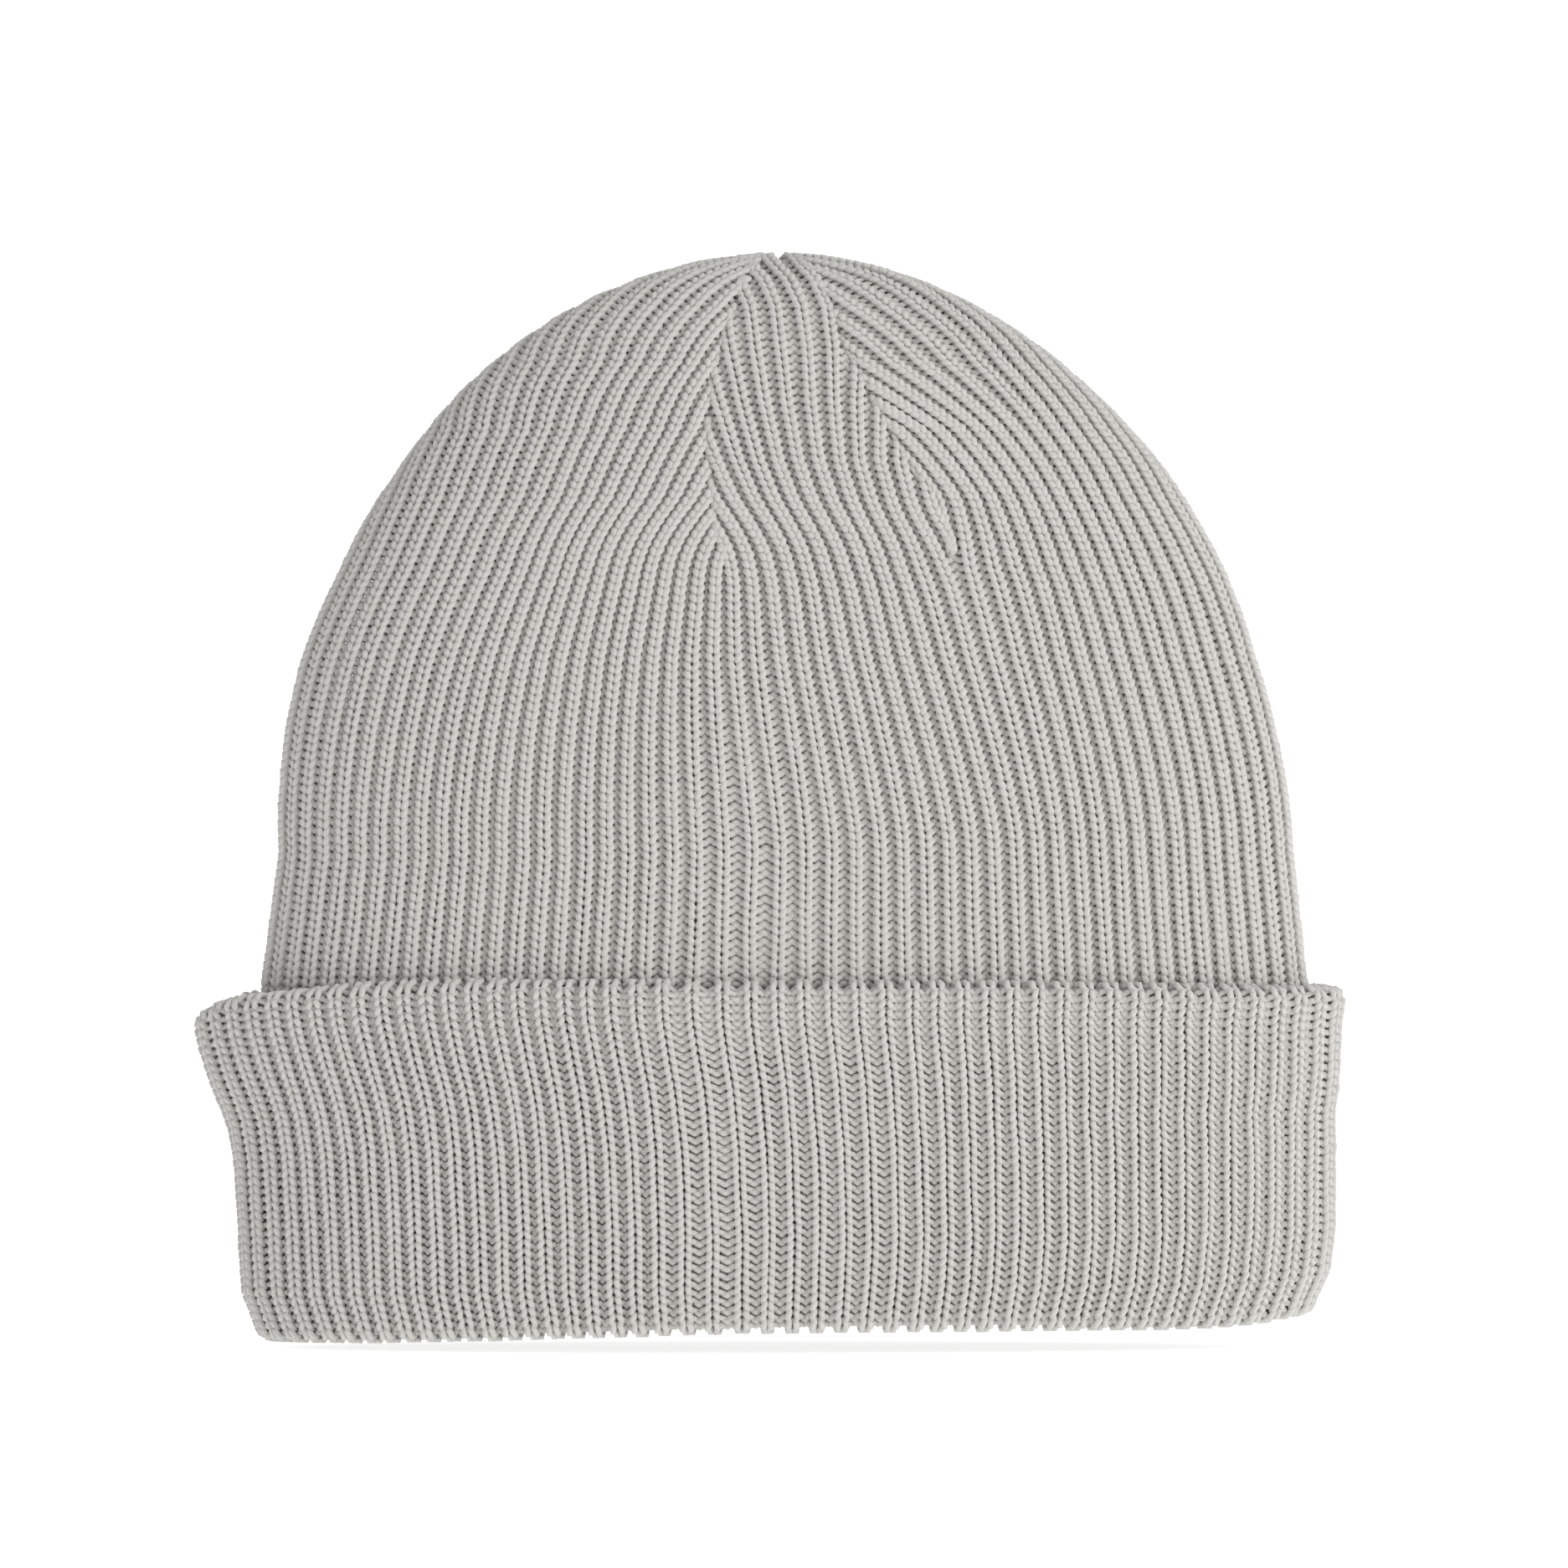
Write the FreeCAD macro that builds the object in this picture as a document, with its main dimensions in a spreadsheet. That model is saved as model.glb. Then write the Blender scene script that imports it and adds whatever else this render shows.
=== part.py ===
import FreeCAD, Part
import os
import Sketcher

# Cuffed knit beanie, laid flat and standing on its bottom fold.
# Millimetres, +Z up, crown on top, front face towards -Y.
# The origin is the centre of the head opening, on the plane of the bottom fold.

doc = FreeCAD.newDocument("knit_beanie")

# --------------------------------------------------------------------------
# Driving dimensions
# --------------------------------------------------------------------------

DIMENSIONS = [
    # the knitted tube: half width (X) and half depth (Y) of its ellipse at the cuff's top,
    # and how much further in the ellipses at the bottom and at the dome's start are
    ("hat_height", 212),
    ("body_half_width", 102),
    ("body_half_depth", 28),
    ("bottom_width_draw", 1.7),
    ("bottom_depth_draw", 0.5),
    ("dome_width_draw", 3.1),
    ("dome_depth_draw", 0.4),
    ("dome_rise", 26),
    ("dome_exponent", 1.9),
    ("depth_power", 0.8),
    ("wall", 2.6),
    # the turned-up cuff
    ("cuff_height", 69),
    ("cuff_wall", 2.8),
    ("cuff_gap", 0.4),
    ("cuff_flare", 10.5),
    ("cuff_lift", 0.8),
    ("fold_height", 5),
    ("fold_round", 1.4),
    ("edge_height", 3.4),
    ("edge_bevel", 0.9),
    # crown darts, measured sideways from the middle and down from the apex
    ("crown_depth", 62),
    ("near_dart_base_side", 13.5),
    ("near_dart_top_side", 7.5),
    ("far_dart_base_side", 38),
    ("far_dart_top_side", 7),
    ("dart_seam_depth_low", 50),
    ("dart_seam_depth_top", 9),
    # seams, which stand inwards from the wall
    ("seam_width", 3),
    ("seam_stand", 1.2),
    ("back_seam_side", 12),
    ("back_seam_drop", 8),
    # the thread that closes the crown
    ("knot_half_width", 5),
    ("knot_half_depth", 2.2),
    ("knot_drop", 2.4),
    # the blank care label, sewn to the back seam
    ("label_width", 22),
    ("label_length", 32),
    ("label_thickness", 0.6),
    ("label_base", 26),
    ("label_clearance", 0.4),
    ("stitch_stand", 0.6),
    ("stitch_width", 1.6),
    # how far the trimming blocks reach past the hat
    ("reach", 20),
]

dims = doc.addObject("Spreadsheet::Sheet", "dims")
for row, (alias, value) in enumerate(DIMENSIONS, start=1):
    dims.set(f"A{row}", alias)
    dims.set(f"B{row}", str(value))
    dims.setAlias(f"B{row}", alias)
doc.recompute()

# How near an edge is to the bottom plane when it lies in it
EDGE_TOLERANCE = 0.01

# Parameter angles of the ellipses that shape the dome, from its start to just short of the apex
DOME_ANGLES = [0, 10, 20, 30, 40, 50, 60, 70, 80, 86]

# Sizes worked out from the sheet, as expressions
BOTTOM_HALF_WIDTH = "(dims.body_half_width - dims.bottom_width_draw)"
BOTTOM_HALF_DEPTH = "(dims.body_half_depth - dims.bottom_depth_draw)"
DOME_HALF_WIDTH = "(dims.body_half_width - dims.dome_width_draw)"
DOME_HALF_DEPTH = "(dims.body_half_depth - dims.dome_depth_draw)"
DOME_START = "(dims.cuff_height + dims.dome_rise)"


def bind(obj, **expressions):
    """Bind properties of obj to the sheet; a double underscore stands for a dot."""
    for name, expression in expressions.items():
        obj.setExpression(name.replace("__", "."), expression)
    return obj


def ellipse(name, half_width, half_depth, height):
    """A horizontal ellipse centred on the Z axis."""
    ring = doc.addObject("Part::Ellipse", name)
    return bind(ring, MajorRadius=half_width, MinorRadius=half_depth, Placement__Base__z=height)


def loft(name, rings, ruled=False):
    """A closed solid through the rings."""
    solid = doc.addObject("Part::Loft", name)
    solid.Sections = rings
    solid.Solid = True
    solid.Ruled = ruled
    return solid


def hat_loft(name, inset):
    """The hat's outer shape, drawn in by inset on every side: a straight tube and a dome."""
    low = ellipse(
        f"{name}_low",
        f"{BOTTOM_HALF_WIDTH} - ({inset})",
        f"{BOTTOM_HALF_DEPTH} - ({inset})",
        "0",
    )
    waist = ellipse(
        f"{name}_waist",
        f"dims.body_half_width - ({inset})",
        f"dims.body_half_depth - ({inset})",
        "dims.cuff_height",
    )
    middle = ellipse(
        f"{name}_middle",
        f"(dims.body_half_width + {DOME_HALF_WIDTH}) / 2 - ({inset})",
        f"(dims.body_half_depth + {DOME_HALF_DEPTH}) / 2 - ({inset})",
        f"(dims.cuff_height + {DOME_START}) / 2",
    )
    dome_rings = [waist, middle]
    for angle in DOME_ANGLES:
        along = f"pow(cos({angle} deg); 2 / dims.dome_exponent)"
        across = f"pow(cos({angle} deg); 2 * dims.depth_power / dims.dome_exponent)"
        up = f"pow(sin({angle} deg); 2 / dims.dome_exponent)"
        dome_rings.append(ellipse(
            f"{name}_dome_{angle}",
            f"({DOME_HALF_WIDTH} - ({inset})) * {along}",
            f"({DOME_HALF_DEPTH} - ({inset})) * {across}",
            f"{DOME_START} + (dims.hat_height - ({inset}) - {DOME_START}) * {up}",
        ))
    tube = loft(f"{name}_tube", [low, waist], ruled=True)
    dome = loft(f"{name}_dome", dome_rings)
    whole = doc.addObject("Part::Fuse", name)
    whole.Base = tube
    whole.Tool = dome
    return whole


CUFF_TOP_HALF_WIDTH = "(dims.body_half_width + dims.cuff_flare)"
CUFF_TOP_HALF_DEPTH = "(dims.body_half_depth + dims.cuff_gap + dims.cuff_lift + dims.cuff_wall)"


def cuff_loft(name, inset):
    """The turned-up cuff's outer shape, drawn in by inset."""
    low = ellipse(
        f"{name}_low",
        f"{BOTTOM_HALF_WIDTH} + dims.cuff_gap + dims.cuff_wall - ({inset})",
        f"{BOTTOM_HALF_DEPTH} + dims.cuff_gap + dims.cuff_wall - ({inset})",
        "0",
    )
    high = ellipse(
        f"{name}_high",
        f"{CUFF_TOP_HALF_WIDTH} - ({inset})",
        f"{CUFF_TOP_HALF_DEPTH} - ({inset})",
        "dims.cuff_height",
    )
    return loft(name, [low, high], ruled=True)


def cut(name, base, tool):
    solid = doc.addObject("Part::Cut", name)
    solid.Base = base
    solid.Tool = tool
    return solid


def common(name, base, tool, label=None):
    solid = doc.addObject("Part::Common", name)
    solid.Base = base
    solid.Tool = tool
    if label:
        solid.Label = label
    return solid


def slice_block(name, low, high):
    """A block that keeps the stretch between two heights."""
    block = doc.addObject("Part::Box", name)
    half_width = f"({CUFF_TOP_HALF_WIDTH} + dims.reach)"
    half_depth = f"({CUFF_TOP_HALF_DEPTH} + dims.reach)"
    return bind(
        block,
        Length=f"2 * {half_width}",
        Width=f"2 * {half_depth}",
        Height=f"({high}) - ({low})",
        Placement__Base__x=f"-{half_width}",
        Placement__Base__y=f"-{half_depth}",
        Placement__Base__z=low,
    )


def origin_plane(body, role):
    for feature in body.Origin.OriginFeatures:
        if feature.Role == role:
            return feature
    raise ValueError(role)


def outline_pad(name, corners, thickness, side):
    """A body padded from a closed outline in the XZ plane.

    corners are (x, z) expressions; side is front (-Y), back (+Y) or both.
    """
    body = doc.addObject("PartDesign::Body", name)
    sketch = body.newObject("Sketcher::SketchObject", f"{name}_outline")
    sketch.AttachmentSupport = (origin_plane(body, "XZ_Plane"), [""])
    sketch.MapMode = "FlatFace"
    count = len(corners)
    places = [
        FreeCAD.Vector(value_of(across), value_of(up), 0)
        for across, up in corners
    ]
    for index in range(count):
        line = Part.LineSegment(places[index], places[(index + 1) % count])
        sketch.addGeometry(line, False)
    for index in range(count):
        sketch.addConstraint(Sketcher.Constraint("Coincident", index, 2, (index + 1) % count, 1))
    for index, (across, up) in enumerate(corners):
        for kind, value, expression in (
            ("DistanceX", places[index].x, across),
            ("DistanceY", places[index].y, up),
        ):
            number = sketch.addConstraint(Sketcher.Constraint(kind, -1, 1, index, 1, value))
            sketch.setExpression(f"Constraints[{number}]", expression)
    pad = body.newObject("PartDesign::Pad", f"{name}_pad")
    pad.Profile = sketch
    bind(pad, Length=thickness)
    pad.Midplane = side == "both"
    pad.Reversed = side == "back"
    return body


def value_of(expression):
    """The present value of an expression, used to draw a sketch near its solved place."""
    result = dims.evalExpression(expression.replace("dims.", ""))
    return float(result)


# --------------------------------------------------------------------------
# Layers that the pieces are taken from
# --------------------------------------------------------------------------

hat_outside = hat_loft("hat_outside", "0")
hat_inside = hat_loft("hat_inside", "dims.wall")
seam_inside = hat_loft("seam_inside", "dims.wall + dims.seam_stand")
stitch_inside = hat_loft("stitch_inside", "dims.wall + dims.seam_stand + dims.stitch_stand")
hat_wall = cut("hat_wall", hat_outside, hat_inside)
seam_layer = cut("seam_layer", hat_inside, seam_inside)
stitch_layer = cut("stitch_layer", seam_inside, stitch_inside)

cuff_outside = cuff_loft("cuff_outside", "0")
cuff_inside = cuff_loft("cuff_inside", "dims.cuff_wall")
cuff_layer = cut("cuff_layer", cuff_outside, cuff_inside)
fold_layer = cut("fold_layer", cuff_outside, hat_inside)

# --------------------------------------------------------------------------
# Knitted panel: fold, band, cuff and body
# --------------------------------------------------------------------------

EDGE_LOW = "dims.cuff_height - dims.edge_height"
CROWN_LOW = "dims.hat_height - dims.crown_depth"
CROWN_HIGH = "dims.hat_height + dims.reach"

fold_slice = slice_block("fold_slice", "0", "dims.fold_height")
band_slice = slice_block("band_slice", "dims.fold_height", "dims.cuff_height")
cuff_slice = slice_block("cuff_slice", "dims.fold_height", EDGE_LOW)
edge_slice = slice_block("edge_slice", EDGE_LOW, "dims.cuff_height")
body_slice = slice_block("body_slice", "dims.cuff_height", CROWN_LOW)

inner_band = common("inner_band", hat_wall, band_slice, "inner_band")
body_tube = common("body_tube", hat_wall, body_slice, "body_tube")
cuff_turn_up = common("cuff_turn_up", cuff_layer, cuff_slice, "cuff_turn_up")
fold_ring = common("fold_ring", fold_layer, fold_slice)
edge_ring = common("edge_ring", cuff_layer, edge_slice)
doc.recompute()


def edge_cone(name, inset, spread):
    """A 45 degree cone through the cuff's top plane; spread is 1 if it opens downwards, -1 upwards."""
    low = ellipse(
        f"{name}_low",
        f"{CUFF_TOP_HALF_WIDTH} - ({inset}) + {spread} * dims.edge_height",
        f"{CUFF_TOP_HALF_DEPTH} - ({inset}) + {spread} * dims.edge_height",
        EDGE_LOW,
    )
    high = ellipse(
        f"{name}_high",
        f"{CUFF_TOP_HALF_WIDTH} - ({inset})",
        f"{CUFF_TOP_HALF_DEPTH} - ({inset})",
        "dims.cuff_height",
    )
    return loft(name, [low, high], ruled=True)


# The free edge is bevelled outside and inside
outer_cone = edge_cone("outer_cone", "dims.edge_bevel", "1")
inner_cone = edge_cone("inner_cone", "dims.cuff_wall - dims.edge_bevel", "-1")
outer_bevelled = common("outer_bevelled", edge_ring, outer_cone)
cast_on_edge = cut("cast_on_edge", outer_bevelled, inner_cone)
cast_on_edge.Label = "cast_on_edge"

# The bottom fold is rounded outside and inside, with a flat underside between
bottom_edges = []
for number, edge in enumerate(fold_ring.Shape.Edges, start=1):
    if abs(edge.BoundBox.ZMax) < EDGE_TOLERANCE:
        bottom_edges.append((number, dims.fold_round, dims.fold_round))
bottom_fold = doc.addObject("Part::Fillet", "bottom_fold")
bottom_fold.Base = fold_ring
bottom_fold.Edges = bottom_edges
bottom_fold.Label = "bottom_fold"

# --------------------------------------------------------------------------
# Crown sections, parted along the darts and the centre-back seam
# --------------------------------------------------------------------------

HALF_DEPTH_REACH = "dims.body_half_depth + dims.reach"
FAR_SIDE = "dims.body_half_width + dims.reach"


# The hat lies slightly turned, so on each face one dart is near the middle and one is far from it
DARTS = {
    "front_left": ("-1", "near"),
    "front_right": ("1", "far"),
    "back_left": ("-1", "far"),
    "back_right": ("1", "near"),
}


def slanting(sign, base, top, height):
    """Sideways place, at a height, of a line from the crown's base to the apex."""
    share = f"((({height}) - ({CROWN_LOW})) / dims.crown_depth)"
    return f"{sign} * ({base} + ({top} - ({base})) * {share})"


def dart_side(name, height):
    sign, reach = DARTS[name]
    return slanting(sign, f"dims.{reach}_dart_base_side", f"dims.{reach}_dart_top_side", height)


def seam_side(height):
    return slanting("-1", "dims.back_seam_side", "0", height)


def line_ends(place):
    """A slanting line's places at the crown's base and above the apex."""
    return place(CROWN_LOW), place(CROWN_HIGH)


def crown_block(name, from_line, to_line, side):
    """A block between two slanting lines, on one face of the hat."""
    outline = [
        (from_line[0], CROWN_LOW),
        (to_line[0], CROWN_LOW),
        (to_line[1], CROWN_HIGH),
        (from_line[1], CROWN_HIGH),
    ]
    return outline_pad(name, outline, HALF_DEPTH_REACH, side)


dart_lines = {}
for dart in DARTS:
    dart_lines[dart] = line_ends(lambda height: dart_side(dart, height))
seam_line = line_ends(seam_side)
left_limit = (f"-({FAR_SIDE})", f"-({FAR_SIDE})")
right_limit = (FAR_SIDE, FAR_SIDE)


def side_section(label, front_lines, back_lines):
    """A side section, which runs round the edge from a front dart to a back dart."""
    front = crown_block(f"{label}_front_block", *front_lines, "front")
    back = crown_block(f"{label}_back_block", *back_lines, "back")
    both = doc.addObject("Part::Fuse", f"{label}_blocks")
    both.Base = front
    both.Tool = back
    return common(label, hat_wall, both, label)


def face_section(label, from_line, to_line, side):
    """A section that lies on one face of the hat."""
    block = crown_block(f"{label}_block", from_line, to_line, side)
    return common(label, hat_wall, block, label)


crown_sections = [
    side_section(
        "crown_left",
        (left_limit, dart_lines["front_left"]),
        (left_limit, dart_lines["back_left"]),
    ),
    side_section(
        "crown_right",
        (dart_lines["front_right"], right_limit),
        (dart_lines["back_right"], right_limit),
    ),
    face_section("crown_front", dart_lines["front_left"], dart_lines["front_right"], "front"),
    face_section("crown_back_left", dart_lines["back_left"], seam_line, "back"),
    face_section("crown_back_right", seam_line, dart_lines["back_right"], "back"),
]

# --------------------------------------------------------------------------
# Seams
# --------------------------------------------------------------------------


def strip(name, line, width, side):
    """A strip of one width along a line of (x, z) places that climbs."""
    outline = []
    for across, up in line:
        outline.append((f"{across} + {width} / 2", up))
    for across, up in reversed(line):
        outline.append((f"{across} - {width} / 2", up))
    return outline_pad(name, outline, HALF_DEPTH_REACH, side)


SEAM_LOW = "dims.hat_height - dims.dart_seam_depth_low"
SEAM_HIGH = "dims.hat_height - dims.dart_seam_depth_top"

dart_seams = []
for dart in DARTS:
    label = f"dart_seam_{dart}"
    block = strip(
        f"{label}_block",
        [
            (dart_side(dart, SEAM_LOW), SEAM_LOW),
            (dart_side(dart, SEAM_HIGH), SEAM_HIGH),
        ],
        "dims.seam_width",
        dart.split("_")[0],
    )
    dart_seams.append(common(label, seam_layer, block, label))

BACK_SEAM_HIGH = "dims.hat_height - dims.back_seam_drop"
back_block = strip(
    "back_seam_block",
    [
        ("-dims.back_seam_side", "dims.fold_height"),
        ("-dims.back_seam_side", CROWN_LOW),
        (seam_side(BACK_SEAM_HIGH), BACK_SEAM_HIGH),
    ],
    "dims.seam_width",
    "back",
)
back_seam = common("back_seam", seam_layer, back_block, "back_seam")

# The thread that draws the crown shut, a flattened knot under the apex
crown_knot = doc.addObject("Part::Ellipsoid", "crown_closing_thread")
crown_knot.Label = "crown_closing_thread"
crown_knot.Angle1 = -90
crown_knot.Angle2 = 0
LAST_RISE = f"pow(sin({DOME_ANGLES[-1]} deg); 2 / dims.dome_exponent)"
bind(
    crown_knot,
    Radius1="dims.knot_drop",
    Radius2="dims.knot_half_width",
    Radius3="dims.knot_half_depth",
    Placement__Base__z=f"{DOME_START} + (dims.hat_height - dims.wall - {DOME_START}) * {LAST_RISE}",
)

# --------------------------------------------------------------------------
# Care label, which swings about the back seam
# --------------------------------------------------------------------------

LABEL_HIGH = "dims.label_base + dims.label_length"
stitch_block = strip(
    "label_stitching_block",
    [
        ("-dims.back_seam_side", "dims.label_base"),
        ("-dims.back_seam_side", LABEL_HIGH),
    ],
    "dims.stitch_width",
    "back",
)
label_stitching = common("label_stitching", stitch_layer, stitch_block, "label_stitching")

LABEL_FACE = (
    f"{BOTTOM_HALF_DEPTH} - dims.wall - dims.seam_stand - dims.stitch_stand"
    " - dims.label_clearance - dims.label_thickness"
)
LABEL_NEAR = "dims.stitch_width / 2 - dims.back_seam_side"
LABEL_FAR = f"{LABEL_NEAR} + dims.label_width"
care_label = outline_pad(
    "care_label",
    [
        (LABEL_NEAR, "dims.label_base"),
        (LABEL_FAR, "dims.label_base"),
        (LABEL_FAR, LABEL_HIGH),
        (LABEL_NEAR, LABEL_HIGH),
    ],
    "dims.label_thickness",
    "back",
)
care_label.Label = "care_label"
bind(care_label, Placement__Base__y=LABEL_FACE)

# --------------------------------------------------------------------------
# Check and write
# --------------------------------------------------------------------------

PIECES = [
    bottom_fold,
    inner_band,
    cuff_turn_up,
    cast_on_edge,
    body_tube,
    *crown_sections,
    *dart_seams,
    back_seam,
    crown_knot,
    label_stitching,
    care_label,
]

doc.recompute()
for obj in doc.Objects:
    if "Invalid" in obj.State or "Error" in obj.State:
        raise RuntimeError(f"{obj.Name} failed: {obj.State}")

os.makedirs("parts", exist_ok=True)
for piece in PIECES:
    shape = piece.Shape
    if shape.isNull() or not shape.isValid() or len(shape.Solids) != 1:
        raise RuntimeError(f"{piece.Label} is not one valid solid")
for piece in PIECES:
    box = piece.Shape.optimalBoundingBox(False)
    print(
        f"{piece.Label:22s} {piece.Shape.Volume:10.1f} mm3"
        f"  x {box.XMin:7.2f} {box.XMax:7.2f}"
        f"  y {box.YMin:7.2f} {box.YMax:7.2f}"
        f"  z {box.ZMin:7.2f} {box.ZMax:7.2f}"
    )
    piece.Shape.exportStep(f"parts/{piece.Label}.step")
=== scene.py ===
"""Rib knitted beanie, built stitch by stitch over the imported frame.

Lengths are in millimetres until a mesh is made. A place on the cloth is a level and a share of the way round.
A level is a ring of the cloth, counted from the free edge, down the cuff, round the fold and up to the crown.
The share starts at the left side, and goes round by the front, the right side and the back."""

import bpy
import numpy as np
from math import pi, radians
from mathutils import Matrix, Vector


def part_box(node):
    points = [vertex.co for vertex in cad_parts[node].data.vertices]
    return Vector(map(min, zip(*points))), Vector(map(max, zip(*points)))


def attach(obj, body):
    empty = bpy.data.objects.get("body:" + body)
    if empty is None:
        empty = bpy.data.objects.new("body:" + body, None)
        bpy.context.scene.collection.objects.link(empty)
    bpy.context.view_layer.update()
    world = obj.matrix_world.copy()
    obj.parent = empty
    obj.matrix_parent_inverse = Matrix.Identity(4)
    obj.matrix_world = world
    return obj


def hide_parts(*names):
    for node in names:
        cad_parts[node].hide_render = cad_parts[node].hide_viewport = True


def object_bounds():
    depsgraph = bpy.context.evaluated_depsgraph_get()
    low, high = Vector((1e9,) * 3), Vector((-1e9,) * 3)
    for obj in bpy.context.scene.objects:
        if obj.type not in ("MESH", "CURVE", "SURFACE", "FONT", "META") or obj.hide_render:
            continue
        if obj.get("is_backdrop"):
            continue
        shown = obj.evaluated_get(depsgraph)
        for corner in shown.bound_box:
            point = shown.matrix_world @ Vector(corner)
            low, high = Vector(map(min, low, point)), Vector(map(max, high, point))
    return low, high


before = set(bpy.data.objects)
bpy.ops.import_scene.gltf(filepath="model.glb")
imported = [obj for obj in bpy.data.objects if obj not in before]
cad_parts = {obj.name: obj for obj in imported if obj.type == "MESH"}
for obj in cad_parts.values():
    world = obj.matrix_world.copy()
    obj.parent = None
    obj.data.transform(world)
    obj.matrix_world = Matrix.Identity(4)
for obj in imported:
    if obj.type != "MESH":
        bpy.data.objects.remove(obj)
cad_low, cad_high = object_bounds()

MM = 0.001


def far(node, axis):
    """How far a CAD node reaches along an axis, in millimetres."""
    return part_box(node)[1][axis] / MM


BODY_SIDE = far("body_tube", 0)
BODY_DEPTH = far("body_tube", 1)
FOLD_SIDE = far("bottom_fold", 0) - 0.6
FOLD_DEPTH = far("bottom_fold", 1) - 0.1
CUFF_SIDE = far("cast_on_edge", 0)
CUFF_DEPTH = far("cast_on_edge", 1)
EDGE_TOP = far("cast_on_edge", 2)
HAT_TOP = far("crown_front", 2)

# The hat's own shape
CLOTH_HALF = 1.35
DOME_START = 95.0
DOME_SIDE = BODY_SIDE - 3.1
DOME_DEPTH = BODY_DEPTH - 0.4
DOME_POWER = 1 / 1.94
DEPTH_POWER = 0.8
OPENING_SIDE = BODY_SIDE - 1.7
OPENING_DEPTH = BODY_DEPTH - 0.5
EDGE_CURL = 1.2
EDGE_STAND = 1.4
FOLD_ARCH = 3.0

# The knitting
RIBS = 100
HALF_RIBS = RIBS // 2
COURSE = 1.65
YARN = 0.69
LOOP_HEIGHT = 1.2
RIB_LEG_LEAN = 0.19
CHANNEL_LEG_LEAN = 0.25
RIB_RISE = 0.8
LOOP_DEPTH = 0.55
RIB_SHARE = 0.68
LEAST_RIB_SHARE = 0.44
STRETCH = 0.125
REST_PITCH = 4.3
FLATTENING = 0.3
LEAST_RISE = 0.4
CROWN_START = 153.0

# Unevenness: shares of the loop's height, the legs' lean and the yarn's radius, and millimetres of lift
# and of a rib's stray to either side, which changes over STRAY_LEVELS levels
UNEVEN_HEIGHT = 0.05
UNEVEN_LEAN = 0.1
UNEVEN_LIFT = 0.05
UNEVEN_YARN = 0.06
ROUGH_YARN = 0.02
STRAY = 0.13
STRAY_LEVELS = 18

# Sections of the crown: first rib, last rib, counted from the left side round the front
SECTIONS = {
    "left": (-15, 23),
    "front": (23, 35),
    "right": (35, 73),
    "back": (73, 85),
}

# How the cuff widens from its fold to its free edge: share of its height, share of its widening
CUFF_FLARE = ([0, 0.1, 0.24, 0.5, 0.65, 0.8, 1], [0, 0.3, 0.39, 0.44, 0.51, 0.75, 1.0])
# How far the hat leans to the right, by height
CUFF_LEAN = ([0, 20, 38, 50, 57, 63, 72], [2.7, 3.1, 2.6, 1.6, 0.6, -0.2, -0.4])
BODY_LEAN = (
    [0, 73, 95, 120, 133, 148, 170, 185, 200, 212],
    [2.7, 2.6, 2.9, 1.8, 1.5, 2.1, 2.0, 1.1, 0.9, 1.2],
)
RING_STEP = 0.8
DOME_STEP = 0.8


def smooth(x, low, high):
    """0 below low, 1 above high, and a smooth climb between them."""
    t = np.clip((x - low) / (high - low), 0, 1)
    return t * t * (3 - 2 * t)


# ---------------------------------------------------------------- the surface that the cloth follows
def cloth_rings():
    """Rings along the cloth's middle: the curled free edge, down the cuff, round the fold, up to the crown.

    Columns: height, half width, half depth, and 1 on the cuff, 0 on the body."""
    cuff_side = CUFF_SIDE - CLOTH_HALF
    cuff_depth = CUFF_DEPTH - CLOTH_HALF
    edge_z = EDGE_TOP + EDGE_STAND - CLOTH_HALF - EDGE_CURL
    rings = []
    for turn in np.linspace(pi, 0, 9)[:-1]:
        back = EDGE_CURL * (1 - np.cos(turn))
        rings.append((edge_z + EDGE_CURL * np.sin(turn), cuff_side - back, cuff_depth - back, 1.0))
    low_side = FOLD_SIDE - CLOTH_HALF
    low_depth = FOLD_DEPTH - CLOTH_HALF
    in_side = OPENING_SIDE - CLOTH_HALF
    in_depth = OPENING_DEPTH - CLOTH_HALF
    radius = (low_side - in_side) / 2
    fold_z = CLOTH_HALF + radius
    for z in np.arange(edge_z, fold_z, -RING_STEP):
        share = (z - fold_z) / (edge_z - fold_z)
        side = low_side + (cuff_side - low_side) * np.interp(share, *CUFF_FLARE)
        rings.append((z, side, low_depth + (cuff_depth - low_depth) * share, 1.0))
    for turn in np.linspace(0, -pi, 11):
        out = radius * np.cos(turn)
        rings.append((
            fold_z + radius * np.sin(turn),
            (low_side + in_side) / 2 + out,
            (low_depth + in_depth) / 2 + out,
            0.5 + 0.5 * np.cos(turn),
        ))
    heights = [0, EDGE_TOP, DOME_START]
    for z in np.arange(fold_z + RING_STEP, DOME_START, RING_STEP):
        side = np.interp(z, heights, [OPENING_SIDE, BODY_SIDE, DOME_SIDE])
        depth = np.interp(z, heights, [OPENING_DEPTH, BODY_DEPTH, DOME_DEPTH])
        rings.append((z, side - CLOTH_HALF, depth - CLOTH_HALF, 0.0))
    for turn in np.radians(np.arange(1, 89.9, DOME_STEP)):
        up = np.sin(turn) ** (2 * DOME_POWER)
        rings.append((
            DOME_START + (HAT_TOP + 0.3 - CLOTH_HALF - DOME_START) * up,
            (DOME_SIDE - CLOTH_HALF) * np.cos(turn) ** (2 * DOME_POWER),
            (DOME_DEPTH - CLOTH_HALF) * np.cos(turn) ** (2 * DOME_POWER * DEPTH_POWER),
            0.0,
        ))
    return np.array(rings)


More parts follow.
